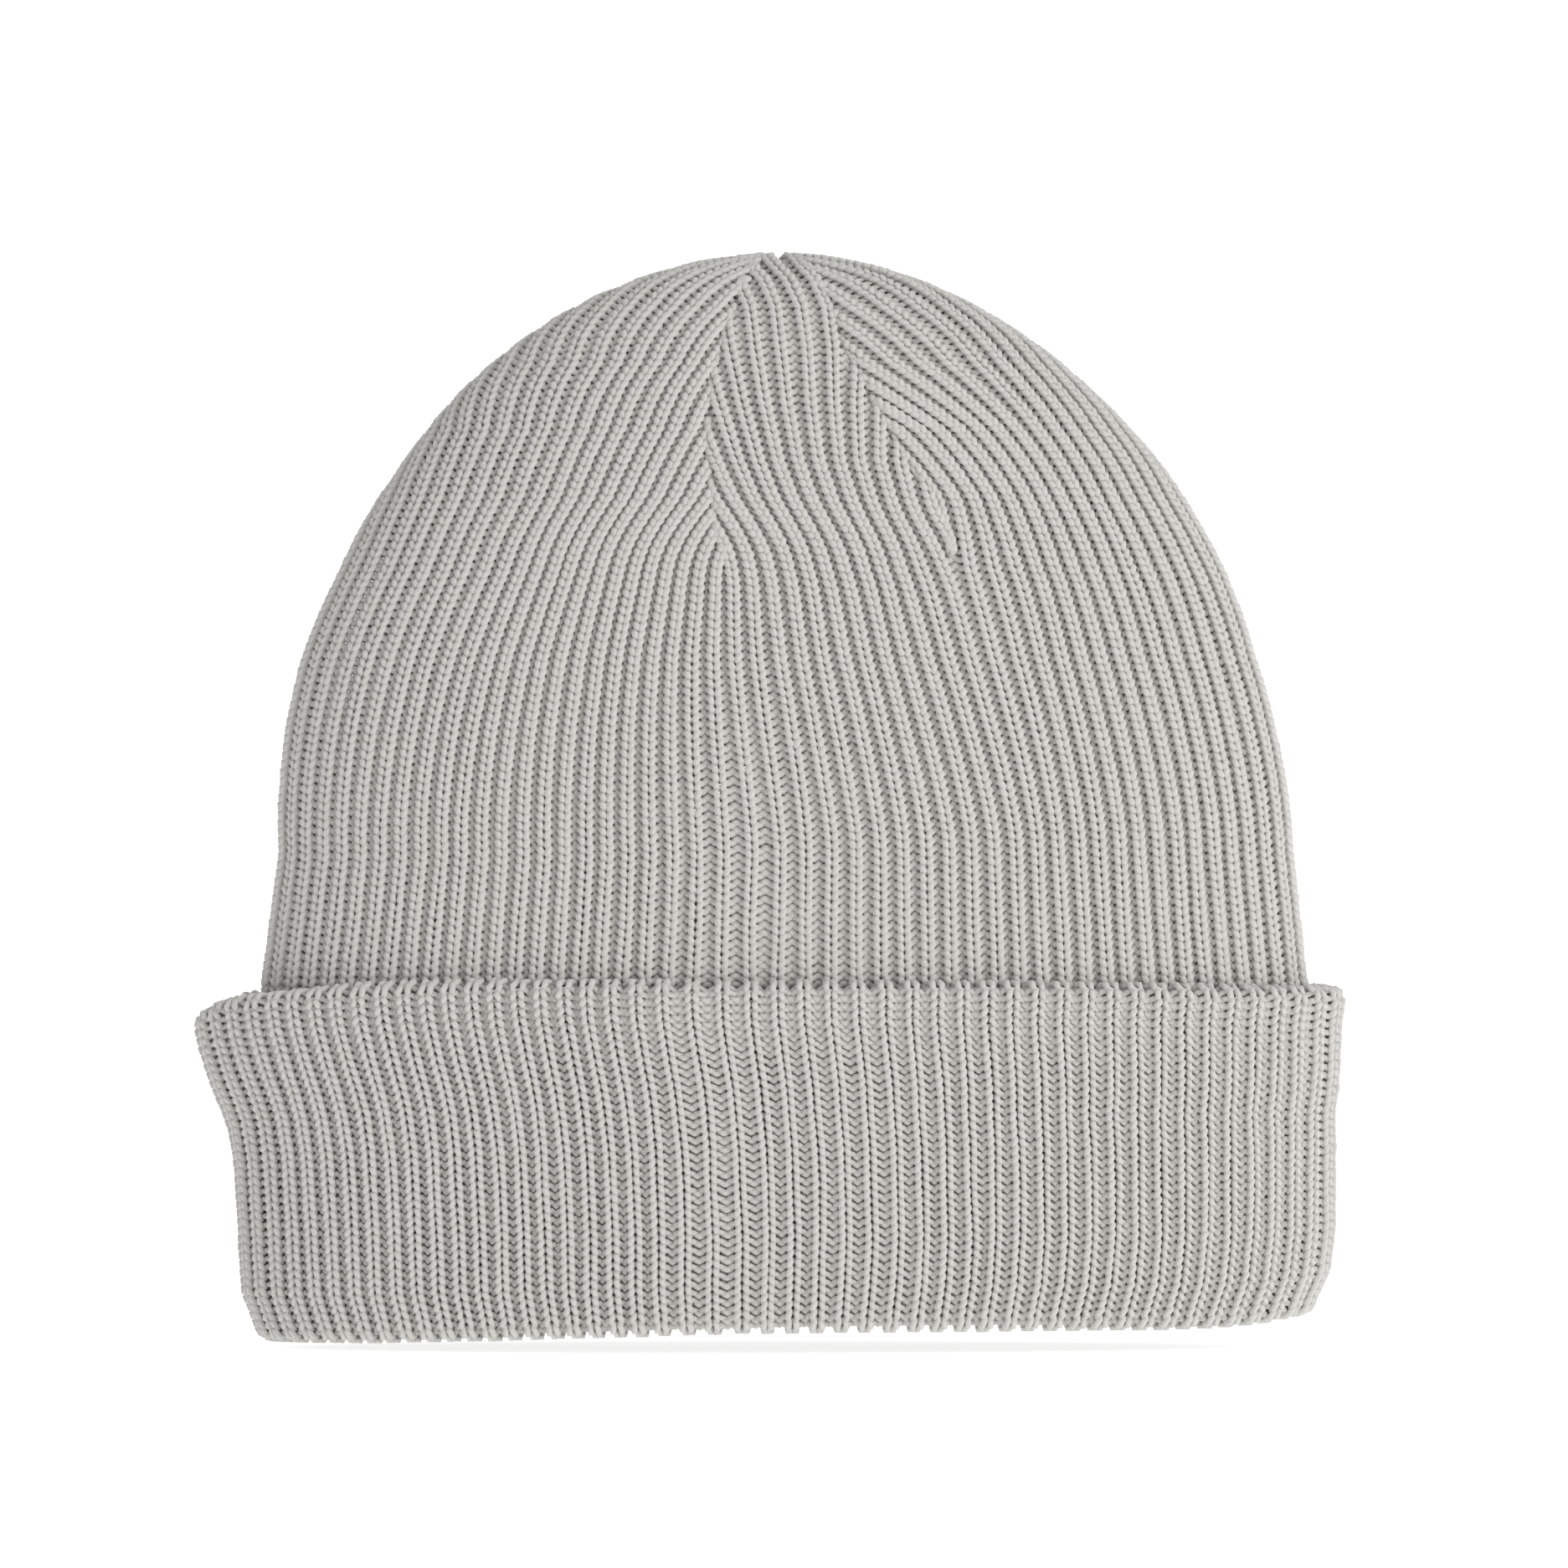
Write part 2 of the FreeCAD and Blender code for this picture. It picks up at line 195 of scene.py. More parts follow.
ROUND = 1024
rings = cloth_rings()
ring_z, ring_side, ring_depth, ring_cuff = rings.T
LEVELS = len(rings)
FOLD_LEVEL = int(np.argmin(ring_z))
ring_lean = np.interp(ring_z, *CUFF_LEAN) * ring_cuff + np.interp(ring_z, *BODY_LEAN) * (1 - ring_cuff)


def cloth_surface():
    """Points of the cloth's middle surface by level and share of the way round, and the length of each ring.

    The cuff's free edge droops at both tips. The fold rises away from the left tip, most at the right one."""
    turn = np.linspace(0, 2 * pi, 4 * ROUND + 1)
    share = np.linspace(0, 1, ROUND + 1)
    points = np.zeros((LEVELS, ROUND + 1, 3))
    length = np.zeros(LEVELS)
    for j in range(LEVELS):
        x = -ring_side[j] * np.cos(turn)
        y = -ring_depth[j] * np.sin(turn)
        step = np.hypot(np.diff(x), np.diff(y))
        along = np.concatenate([[0], np.cumsum(step)])
        length[j] = along[-1]
        at = np.interp(share, along / along[-1], turn)
        points[j, :, 0] = ring_lean[j] - ring_side[j] * np.cos(at)
        points[j, :, 1] = -ring_depth[j] * np.sin(at)
        points[j, :, 2] = ring_z[j]
    left = (1 + np.cos(2 * pi * share)) / 2
    right = 1 - left
    droop = 0.056 * left**20 + 0.045 * left**350 + 0.025 * right**8
    points[:, :, 2] *= 1 - droop[None, :] * (ring_cuff * smooth(ring_z, 10, 60))[:, None]
    arch = FOLD_ARCH * (1 - left**3) + 2.0 * right**80
    points[:, :, 2] += arch[None, :] * (1 - smooth(ring_z, 0, 45))[:, None]
    return points, length


surface, around = cloth_surface()


def surface_normals():
    """Unit normals that point out of the body. On the turned-up cuff they point back at the body."""
    wide = np.concatenate([surface[:, -2:-1], surface, surface[:, 1:2]], axis=1)
    across = wide[:, 2:] - wide[:, :-2]
    along = np.gradient(surface, axis=0)
    normal = np.cross(across, along)
    return normal / np.linalg.norm(normal, axis=2, keepdims=True)


normals = surface_normals()


def look_up(table, share, level):
    """Reads a table at any share of the way round and any level."""
    share = np.mod(share, 1.0) * ROUND
    i = np.minimum(share.astype(int), ROUND - 1)
    f = (share - i)[..., None]
    level = np.clip(level, 0, LEVELS - 1.001)
    j = level.astype(int)
    g = (level - j)[..., None]
    low = table[j, i] * (1 - f) + table[j, i + 1] * f
    high = table[j + 1, i] * (1 - f) + table[j + 1, i + 1] * f
    return low * (1 - g) + high * g


rng = np.random.default_rng(11)


# ---------------------------------------------------------------- where each rib runs
def front_share(x):
    """Share of the way round of the point on the front x millimetres right of the middle, by level."""
    out = np.zeros(LEVELS)
    for j in range(LEVELS):
        half = surface[j, : ROUND // 2 + 1, 0]
        out[j] = np.interp(x[j], half, np.linspace(0, 0.5, ROUND // 2 + 1))
    return out


# How wide the ribs of one half are beside each other, by rib number: the cloth is pulled open in places
CUFF_SPREAD = (
    [0, 19, 21.5, 23.4, 25.3, 29.5, 32, 50],
    [0.94, 0.95, 1.08, 1.28, 1.07, 1.12, 1.03, 1.03],
)
BODY_SPREAD = (
    [0, 19, 21.3, 23.4, 25.3, 29.5, 36, 41, 50],
    [0.94, 0.95, 1.13, 1.31, 1.15, 1.03, 0.98, 0.88, 0.92],
)
SHOULDER_SPREAD = (
    [0, 9, 11, 22, 24, 33, 34, 36.5, 38, 50],
    [4.05, 4.05, 3.15, 3.15, 3.65, 3.65, 4.8, 4.8, 3.75, 3.75],
)


def half_share(spread, rib):
    """Share of the way round at a rib, from the widths of the ribs before it in its half."""
    grid = np.linspace(0, HALF_RIBS, 10 * HALF_RIBS + 1)
    width = np.interp(grid, *spread)
    place = np.concatenate([[0], np.cumsum((width[1:] + width[:-1]) / 2)])
    half, rib = np.divmod(rib, HALF_RIBS)
    return (half + np.interp(rib, grid, place / place[-1])) / 2


def even_share(rib):
    """Where a rib boundary runs below the crown, as a share of the way round, by level."""
    body = smooth(ring_z, 5, 70) * (1 - ring_cuff)
    shoulder = np.clip((ring_z - 98) / 52, 0, 1) ** 1.3 * (ring_cuff < 0.5)
    low = half_share(CUFF_SPREAD, rib) * (1 - body) + half_share(BODY_SPREAD, rib) * body
    return low * (1 - shoulder) + half_share(SHOULDER_SPREAD, rib) * shoulder


def by_height(heights, values):
    """A number for each level, from values at a few heights."""
    return np.interp(ring_z, heights, values)


left_dart = front_share(by_height(
    [150, 160, 175, 188, 197, 205, 212],
    [-10.4, -10.8, -12.6, -11.4, -8.9, -5.9, -1.0],
))
right_dart = front_share(by_height(
    [156, 164, 170, 183, 193, 207, 212],
    [34.8, 32.2, 27, 19.8, 14.8, 8.8, 3.0],
))

# Ribs that keep their place over the crown, and the ribs from the right one to the tip
LEFT_RIB = 10
RIGHT_RIB = 43.3
RIGHT_RIBS_TO_TIP = 6.7
FRONT_RIB = 31.3


def section_place(name, rib):
    """Where a rib boundary runs over the crown, as a share of the way round, by level.

    In each section one rib has its place by height, and the others lie a pitch apart on either side of it.
    In the side sections the pitch is inner towards the front, outer towards the tip and past beyond it."""
    past = by_height([150, 164, 177, 190, 201, 212], [3.7, 3.9, 4.8, 6.3, 7.2, 7.8])
    if name == "left":
        turn = by_height([150, 164, 177, 190, 201, 212], [40.5, 38.5, 34, 26.5, 15, 0])
        inner = by_height([150, 164, 190, 200, 212], [3.15, 3.3, 3.7, 4.3, 4.6])
        outer = by_height([150, 177, 190, 212], [4.0, 4.2, 4.8, 5.2])
        to_tip = np.maximum(rib - LEFT_RIB, -LEFT_RIB) * outer
        run = np.where(rib > LEFT_RIB, (rib - LEFT_RIB) * inner, to_tip + np.minimum(rib, 0) * past)
        return (turn + run) / around
    if name == "right":
        turn = by_height([150, 164, 177, 190, 201, 207, 212], [25, 23, 20, 15.5, 8.5, 3, 0])
        inner = by_height([150, 164, 177, 190, 201, 212], [3.85, 3.5, 3.9, 5.6, 6.6, 7.0])
        outer = by_height([150, 164, 212], [3.75, 3.45, 3.4])
        to_tip = np.minimum(rib - RIGHT_RIB, RIGHT_RIBS_TO_TIP) * outer
        beyond = np.maximum(rib - HALF_RIBS, 0) * past
        run = np.where(rib < RIGHT_RIB, (rib - RIGHT_RIB) * inner, to_tip + beyond)
        return 0.5 + (run - turn) / around
    back = name == "back"
    rib = rib - HALF_RIBS if back else rib
    line = by_height(
        [142, 150, 160, 171, 182, 193, 201, 206, 212],
        [22.6, 19.7, 15.8, 12.3, 11.2, 10.9, 9.8, 7.5, 1.5],
    )
    across = by_height([150, 160, 171, 182, 193, 212], [3.65, 3.7, 3.95, 4.45, 5.0, 5.0])
    return front_share(line - (FRONT_RIB - rib) * across) + (0.5 if back else 0)


def section_ribs(name):
    """Share of the way round of each rib boundary of a section, by level, with a spare rib at either end."""
    first, last = SECTIONS[name]
    blend = smooth(ring_z, CROWN_START - 9, CROWN_START + 12) * (ring_cuff < 0.5)
    out = []
    for rib in range(first - 1, last + 2):
        out.append(even_share(float(rib)) * (1 - blend) + section_place(name, float(rib)) * blend)
    return np.array(out)


def section_edges(name):
    """Shares of the way round of the two darts that bound a section, by level."""
    if name == "left":
        return right_dart - 0.5, left_dart
    if name == "front":
        return left_dart, right_dart
    if name == "right":
        return right_dart, left_dart + 0.5
    return left_dart + 0.5, right_dart + 0.5


SIDE_STEP = 0.002


def wale_edges(ribs):
    """Splits each rib into its raised wale and the sunken one after it, by level.

    Gives the edges as shares of the way round, and how far each wale stands up. A rib that is pulled wide
    opens its channel and lies flatter."""
    middle = (ribs[1:] + ribs[:-1]) / 2
    width = (ribs[1:] - ribs[:-1]) * around
    level = np.broadcast_to(np.arange(LEVELS), middle.shape).astype(float)
    path = look_up(surface, middle, level)
    way = np.gradient(path, axis=1)
    way /= np.linalg.norm(way, axis=2, keepdims=True) + 1e-9
    side = look_up(surface, middle + SIDE_STEP, level)
    side = side - look_up(surface, middle - SIDE_STEP, level)
    side /= np.linalg.norm(side, axis=2, keepdims=True) + 1e-9
    upright = np.sqrt(np.clip(1 - (way * side).sum(2) ** 2, 0.12, 1))
    pitch = np.maximum(width * upright, 0.3)
    raised = np.clip(RIB_SHARE - STRETCH * (pitch - REST_PITCH), LEAST_RIB_SHARE, RIB_SHARE)
    raised = raised * (1 - ring_cuff) + (1 - raised) * ring_cuff
    half = raised * (ribs[1:] - ribs[:-1]) / 2
    edges = np.empty((2 * len(middle), LEVELS))
    edges[0::2] = middle - half
    edges[1::2] = middle + half
    stray = rng.normal(0, 1, (len(edges), LEVELS // STRAY_LEVELS + 3))
    at = np.arange(LEVELS) / STRAY_LEVELS
    stray = np.array([np.interp(at, np.arange(len(row)), row) for row in stray])
    edges += STRAY * stray / np.maximum(around, 60)
    rise = RIB_RISE * np.clip(1 - FLATTENING * (pitch - REST_PITCH), LEAST_RISE, 1)
    return edges, np.repeat(rise, 2, axis=0)


# Lengths along a wale edge, measured from the fold, that the table of levels covers
RUN_START = -80
RUN_END = 330
PHASE_STEP = 0.15


def run_lengths(edges):
    """For each wale edge, the level at each length along it, measured from the fold."""
    level = np.broadcast_to(np.arange(LEVELS), edges.shape).astype(float)
    path = look_up(surface, edges, level)
    step = np.linalg.norm(np.diff(path, axis=1), axis=2)
    along = np.concatenate([np.zeros((len(edges), 1)), np.cumsum(step, axis=1)], axis=1)
    along -= along[:, FOLD_LEVEL : FOLD_LEVEL + 1]
    grid = np.arange(RUN_START, RUN_END, PHASE_STEP)
    return np.array([np.interp(grid, a, np.arange(LEVELS), left=-1, right=LEVELS) for a in along])


def read_rows(table, row, column):
    """Reads row by row between the columns of a table."""
    column = np.clip(column, 0, table.shape[1] - 1.001)
    j = column.astype(int)
    f = column - j
    return table[row, j] * (1 - f) + table[row, j + 1] * f


def by_level(values, level):
    """Reads a list that has one value for each level, at any level."""
    return np.interp(level, np.arange(LEVELS), values)


# ---------------------------------------------------------------- yarn
# Past a dart the stitches are pressed together and dive inside
DART_PRESS = 0.3
DIVE_START = 1.5
DIVE_EASE = 2.0
DIVE_DEPTH = 4.0
EDGE_SCALLOP = 0.75


def stitch_course(part, course, wales, samples, closed):
    """Points and outward directions of the yarn of one course of stitches, over the wales given."""
    edges, levels, rises, low, high = part
    t = np.arange(samples) * 2 * pi / samples
    wale = np.repeat(wales, samples)
    turn = np.tile(t, len(wales))
    nxt = (wale + 1) % len(edges) if closed else wale + 1
    wrap = (nxt < wale) * 1.0
    wobble = rng.normal(0, 1, (3, len(wales)))
    height = LOOP_HEIGHT * (1 + UNEVEN_HEIGHT * np.repeat(wobble[0], samples))
    phase = (course * COURSE - height * np.cos(turn) - RUN_START) / PHASE_STEP
    level_a = read_rows(levels, wale, phase)
    level_b = read_rows(levels, nxt, phase)
    share = turn / (2 * pi)
    level = level_a * (1 - share) + level_b * share
    at_a = read_rows(edges, wale, level)
    at_b = read_rows(edges, nxt, level) + wrap
    width = at_b - at_a
    lean = np.where(wale % 2 == 0, RIB_LEG_LEAN, CHANNEL_LEG_LEAN)
    lean = by_level(ring_cuff, level) * (RIB_LEG_LEAN + CHANNEL_LEG_LEAN - 2 * lean) + lean
    lean = lean * (1 + UNEVEN_LEAN * np.repeat(wobble[1], samples))
    at = at_a + width * (share + lean * np.sin(2 * turn))
    face = np.where(wale % 2 == 0, 1.0, -1.0)
    rise = read_rows(rises, wale, level)
    lift = rise * np.sin(turn / 2) + LOOP_DEPTH * (np.cos(turn / 2) ** 4 - np.cos(2 * turn))
    lift = lift * face + UNEVEN_LIFT * np.repeat(wobble[2], samples) * np.sin(turn / 2)
    if low is not None:
        ring = by_level(around, level)
        left = by_level(low, level)
        right = by_level(high, level)
        past = np.maximum(left - at, at - right) * ring
        side = np.where(left - at > at - right, left, right)
        over = np.maximum(past, 0)
        at = np.where(past > 0, side + np.sign(at - side) * DART_PRESS * over / ring, at)
        z = by_level(ring_z, level)
        deep = np.maximum(past + DIVE_START, 0)
        sink = smooth(z, CROWN_START, CROWN_START + 12) * (1 - smooth(z, HAT_TOP - 14, HAT_TOP - 4))
        lift = lift - np.minimum(deep**2 / (deep + DIVE_EASE), DIVE_DEPTH) * sink
    out = look_up(normals, at, level)
    out /= np.linalg.norm(out, axis=1, keepdims=True)
    place = look_up(surface, at, level) + out * lift[:, None]
    # Along the free edge the cuff's raised wales stand above its sunken ones
    near_edge = smooth(-level, -26, -6)
    place[:, 2] += near_edge * -face * EDGE_SCALLOP * np.sin(turn / 2) ** 2
    return place, out


class Mesh:
    """Gathers tubes of yarn and makes one mesh of them."""

    def __init__(self):
        self.points = []
        self.faces = []
        self.sizes = []
        self.uvs = []
        self.count = 0
        self.triangles = 0

    def tube(self, path, out, radius, sides, closed=False):
        """A tube along path, whose rings are turned by the directions in out. Open ends get a flat cap."""
        n = len(path)
        if closed:
            way = np.roll(path, -1, 0) - np.roll(path, 1, 0)
        else:
            way = np.gradient(path, axis=0)
        way /= np.linalg.norm(way, axis=1, keepdims=True) + 1e-12
        up = out - way * (out * way).sum(1)[:, None]
        up /= np.linalg.norm(up, axis=1, keepdims=True) + 1e-12
        side = np.cross(way, up)
        turn = np.arange(sides) * 2 * pi / sides
        ring = up[:, None] * np.cos(turn)[None, :, None] + side[:, None] * np.sin(turn)[None, :, None]
        points = path[:, None] + ring * np.asarray(radius)[:, None, None]
        base = self.count
        self.points.append(points.reshape(-1, 3))
        self.count += n * sides
        i = np.arange(n if closed else n - 1)[:, None]
        k = np.arange(sides)[None, :]
        i2, k2 = (i + 1) % n, (k + 1) % sides
        quads = np.stack([
            np.broadcast_to(i * sides + k, (len(i), sides)),
            np.broadcast_to(i * sides + k2, (len(i), sides)),
            i2 * sides + k2,
            i2 * sides + k,
        ], axis=2).reshape(-1, 4)
        run = np.concatenate([[0], np.cumsum(np.linalg.norm(np.diff(path, axis=0), axis=1))])
        run = np.append(run, run[-1] + np.linalg.norm(path[0] - path[-1]))
        u0 = np.broadcast_to(k / sides, (len(i), sides))
        u1 = np.broadcast_to((k + 1) / sides, (len(i), sides))
        v0 = np.broadcast_to(run[i], (len(i), sides))
        v1 = np.broadcast_to(run[i + 1], (len(i), sides))
        uv = np.stack([u0, v0, u1, v0, u1, v1, u0, v1], axis=2).reshape(-1, 2)
        self.faces.append((quads + base).reshape(-1))
        self.sizes.append(np.full(len(quads), 4))
        self.uvs.append(uv)
        self.triangles += 2 * len(quads)
        if not closed:
            for end, flip in ((0, False), (n - 1, True)):
                cap = base + end * sides + np.arange(sides)
                cap = cap if flip else cap[::-1]
                self.faces.append(cap)
                self.sizes.append(np.array([sides]))
                self.uvs.append(np.zeros((sides, 2)))
                self.triangles += sides - 2

    def make(self, name, material):
        """One Blender object of everything gathered."""
        points = np.concatenate(self.points) * MM
        loops = np.concatenate(self.faces).astype(np.int32)
        sizes = np.concatenate(self.sizes)
        starts = np.concatenate([[0], np.cumsum(sizes)[:-1]]).astype(np.int32)
        mesh = bpy.data.meshes.new(name)
        mesh.vertices.add(len(points))
        mesh.vertices.foreach_set("co", points.astype(np.float32).ravel())
        mesh.loops.add(len(loops))
        mesh.loops.foreach_set("vertex_index", loops)
        mesh.polygons.add(len(sizes))
        mesh.polygons.foreach_set("loop_start", starts)
        layer = mesh.uv_layers.new(name="yarn")
        layer.uv.foreach_set("vector", np.concatenate(self.uvs).astype(np.float32).ravel())
        mesh.update(calc_edges=True)
        mesh.polygons.foreach_set("use_smooth", np.ones(len(sizes), bool))
        mesh.materials.append(material)
        piece = bpy.data.objects.new(name, mesh)
        bpy.context.collection.objects.link(piece)
        return piece


def yarn_radius(n):
    """The yarn's radius along its length, slightly uneven."""
    rough = rng.normal(0, 1, n)
    soft = (rough + np.roll(rough, 1) + np.roll(rough, 2) + np.roll(rough, 3)) / 4
    return YARN * (1 + UNEVEN_YARN * soft + ROUGH_YARN * rng.normal(0, 1, n))


# For each crown section: wale edges, levels along them, rises, and the darts on its left and right
parts = {}
for name in SECTIONS:
    edges, rises = wale_edges(section_ribs(name))
    parts[name] = (edges, run_lengths(edges), rises, *section_edges(name))

# The same all the way round, without the spare ribs and the darts
WHOLE = (*(np.concatenate([parts[name][i][2:-2] for name in SECTIONS]) for i in range(3)), None, None)


# ---------------------------------------------------------------- materials
class Nodes:
    """A material's nodes, with short ways to add and join them."""

    def __init__(self, name):
        self.material = bpy.data.materials.new(name)
        self.material.use_nodes = True
        self.tree = self.material.node_tree
        self.shader = self.tree.nodes["Principled BSDF"]

    def add(self, kind, operation=None):
        """Adds a node of any kind."""
        node = self.tree.nodes.new(kind)
        if operation:
            node.operation = operation
        return node

    def join(self, source, target):
        """Links an output to an input."""
        self.tree.links.new(source, target)

    def math(self, operation, a, b=None, clamp=False):
        """Works out one operation on numbers or outputs."""
        node = self.tree.nodes.new("ShaderNodeMath")
        node.operation = operation
        node.use_clamp = clamp
        for slot, value in ((0, a), (1, b)):
            if value is None:
                continue
            if isinstance(value, (int, float)):
                node.inputs[slot].default_value = value
            else:
                self.join(value, node.inputs[slot])
        return node.outputs[0]

    def noise(self, scale, detail, vector):
        """Noise over a vector."""
        node = self.tree.nodes.new("ShaderNodeTexNoise")
        node.inputs["Scale"].default_value = scale
        node.inputs["Detail"].default_value = detail
        self.join(vector, node.inputs["Vector"])
        return node.outputs[0]

    def bump(self, height, strength, distance):
        """Gives the shader a relief."""
        node = self.tree.nodes.new("ShaderNodeBump")
        node.inputs["Strength"].default_value = strength
        node.inputs["Distance"].default_value = distance
        self.join(height, node.inputs["Height"])
        self.join(node.outputs[0], self.shader.inputs["Normal"])

    def mix(self, factor, a, b):
        """Mixes two colours."""
        node = self.tree.nodes.new("ShaderNodeMix")
        node.data_type = "RGBA"
        for slot, value in ((0, factor), (6, a), (7, b)):
            if isinstance(value, (int, float)):
                node.inputs[slot].default_value = value
            elif isinstance(value, tuple):
                node.inputs[slot].default_value = (*value, 1)
            else:
                self.join(value, node.inputs[slot])
        return node.outputs[2]


def yarn_material(name, colour, plies, patch_size, relief):
    """Twisted yarn: plies and fibres in relief, and small changes of tone along it."""
    n = Nodes(name)
    place = n.add("ShaderNodeTexCoord")
    yarn = n.add("ShaderNodeUVMap")
    yarn.uv_map = "yarn"
    split = n.add("ShaderNodeSeparateXYZ")
    n.join(yarn.outputs[0], split.inputs[0])
    twist = n.math("ADD", split.outputs[0], n.math("DIVIDE", split.outputs[1], 2 * plies))
    ply = n.math("ABSOLUTE", n.math("SINE", n.math("MULTIPLY", twist, 2 * pi)))
    fibre_at = n.add("ShaderNodeCombineXYZ")
    n.join(n.math("MULTIPLY", twist, 14), fibre_at.inputs[0])
    n.join(n.math("MULTIPLY", split.outputs[1], 0.9), fibre_at.inputs[1])
    fibre = n.noise(1.0, 3.0, fibre_at.outputs[0])
    patch = n.noise(patch_size, 2.0, place.outputs["Object"])
    shade = n.math("ADD", n.math("MULTIPLY", patch, 0.5), n.math("MULTIPLY", fibre, 0.5))
    shade = n.math("SUBTRACT", 1.0, shade, clamp=True)
    darker = tuple(c * k for c, k in zip(colour, (0.66, 0.64, 0.61)))
    n.join(n.mix(n.math("MULTIPLY", shade, 0.5), colour, darker), n.shader.inputs["Base Color"])
    height = n.math("ADD", n.math("MULTIPLY", ply, 0.6), n.math("MULTIPLY", fibre, 0.7))
    n.bump(height, relief, 0.00016)
    n.shader.inputs["Roughness"].default_value = 0.95
    n.shader.inputs["Specular IOR Level"].default_value = 0.15
    n.shader.inputs["Sheen Weight"].default_value = 0.3
    n.shader.inputs["Sheen Roughness"].default_value = 0.5
    return n.material


def label_material():
    """Off-white satin tape, with its threads a little uneven."""
    n = Nodes("label_satin")
    place = n.add("ShaderNodeTexCoord")
    stretch = n.add("ShaderNodeVectorMath", operation="MULTIPLY")
    stretch.inputs[1].default_value = (500, 500, 4500)
    n.join(place.outputs["Object"], stretch.inputs[0])
    pick = n.noise(1.0, 2.0, stretch.outputs[0])
    patch = n.noise(90.0, 2.0, place.outputs["Object"])
    tone = n.math("ADD", n.math("MULTIPLY", pick, 0.7), n.math("MULTIPLY", patch, 0.3))
    n.join(n.mix(tone, (0.66, 0.65, 0.62), (0.84, 0.83, 0.8)), n.shader.inputs["Base Color"])
    n.bump(pick, 0.3, 0.00005)
    n.shader.inputs["Roughness"].default_value = 0.5
    n.shader.inputs["Sheen Weight"].default_value = 0.2
    return n.material


KNIT = yarn_material("knit_yarn", (0.63, 0.618, 0.595), 1.9, 420.0, 0.55)
THREAD = yarn_material("seam_thread", (0.60, 0.585, 0.55), 0.7, 700.0, 0.4)
LABEL = label_material()


# ---------------------------------------------------------------- the knitting
def ring_course(mesh, course, samples, sides):
    """One course that goes all the way round."""
    path, out = stitch_course(WHOLE, course, np.arange(len(WHOLE[0])), samples, True)
    mesh.tube(path, out, yarn_radius(len(path)), sides, True)


# A course ends this far past a dart, in millimetres, and stays clear of the last levels at the top
DART_REACH = 2.0
TOP_LEVELS = 3


def section_course(mesh, name, course, samples, sides):
    """One course of a crown section, between its two darts, if anything is left of it there."""
    part = parts[name]
    edges, levels, _, low, high = part
    n = len(edges)
    phase = np.full(n, (course * COURSE - RUN_START) / PHASE_STEP)
    level = read_rows(levels, np.arange(n), phase)
    at = read_rows(edges, np.arange(n), level)
    past = np.maximum(by_level(low, level) - at, at - by_level(high, level)) * by_level(around, level)
    reach = DART_REACH * smooth(by_level(ring_z, level), CROWN_START - 1, CROWN_START + 9)
    below_top = level < LEVELS - TOP_LEVELS
    keep = (past < reach + 0.1) & below_top
    inside = (past < 0.2) & below_top
    ok = (keep[:-1] & keep[1:]) | ((inside[:-1] | inside[1:]) & below_top[:-1] & below_top[1:])
    wales = np.nonzero(ok)[0]
    if len(wales) < 1:
        return
    for run in np.split(wales, np.nonzero(np.diff(wales) > 1)[0] + 1):
        path, out = stitch_course(part, course, run, samples, False)
        mesh.tube(path, out, yarn_radius(len(path)), sides)


# A piece is closed before one more ring course would take it past this
MAX_TRIANGLES = 185000


def finish_piece(mesh, name, material, node, body):
    """Makes a piece, hangs it on its body, and hides the CAD nodes it stands for."""
    piece = mesh.make(name, material)
    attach(piece, body)
    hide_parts(*node)
    return piece


def knit_pieces(stem, node, slot, courses, samples, sides, section=None):
    """Knits courses into as many pieces as their size needs."""
    mesh = Mesh()
    made = 0
    for course in courses:
        if section:
            section_course(mesh, section, course, samples, sides)
        else:
            ring_course(mesh, course, samples, sides)
        full = mesh.triangles > MAX_TRIANGLES - 2 * len(WHOLE[0]) * samples * sides
        if mesh.count and (full or course == courses[-1]):
            made += 1
            finish_piece(mesh, f"{stem}_{made}", KNIT, node, "hat")
            mesh = Mesh()


# Courses are numbered from the fold. Each number is the first course of its part.
EDGE_COURSE = -int((EDGE_TOP + 1.5) / COURSE) - 1
CUFF_COURSE = EDGE_COURSE + 3
FOLD_COURSE = -2
BAND_COURSE = 4
BODY_COURSE = 38
CROWN_COURSES = 110
front_wale = WHOLE[1][100]
crown_level = np.interp(CROWN_START, ring_z[FOLD_LEVEL:], np.arange(FOLD_LEVEL, LEVELS))
crown_run = np.interp(crown_level, front_wale, np.arange(len(front_wale)) * PHASE_STEP + RUN_START)
CROWN_COURSE = int(crown_run / COURSE) + 1

# Points in each stitch, and sides of the yarn
SHOWN = (10, 5)
HIDDEN = (8, 4)

knit_pieces("cast_on_edge_knit", ["cast_on_edge"], "knit_cuff", range(EDGE_COURSE, CUFF_COURSE), *SHOWN)
knit_pieces("cuff_turn_up_knit", ["cuff_turn_up"], "knit_cuff", range(CUFF_COURSE, FOLD_COURSE), *SHOWN)
knit_pieces("bottom_fold_knit", ["bottom_fold"], "knit_cuff", range(FOLD_COURSE, BAND_COURSE), *SHOWN)
knit_pieces("inner_band_knit", ["inner_band"], "knit_inside", range(BAND_COURSE, BODY_COURSE), *HIDDEN)
knit_pieces("body_tube_knit", ["body_tube"], "knit_body", range(BODY_COURSE, CROWN_COURSE), *SHOWN)
crown = range(CROWN_COURSE, CROWN_COURSE + CROWN_COURSES)
for name, node in (
    ("left", ["crown_left"]),
    ("front", ["crown_front"]),
    ("right", ["crown_right"]),
    ("back", ["crown_back_left", "crown_back_right"]),
):
    knit_pieces(f"crown_{name}_knit", node, "knit_body", crown, *SHOWN, name)


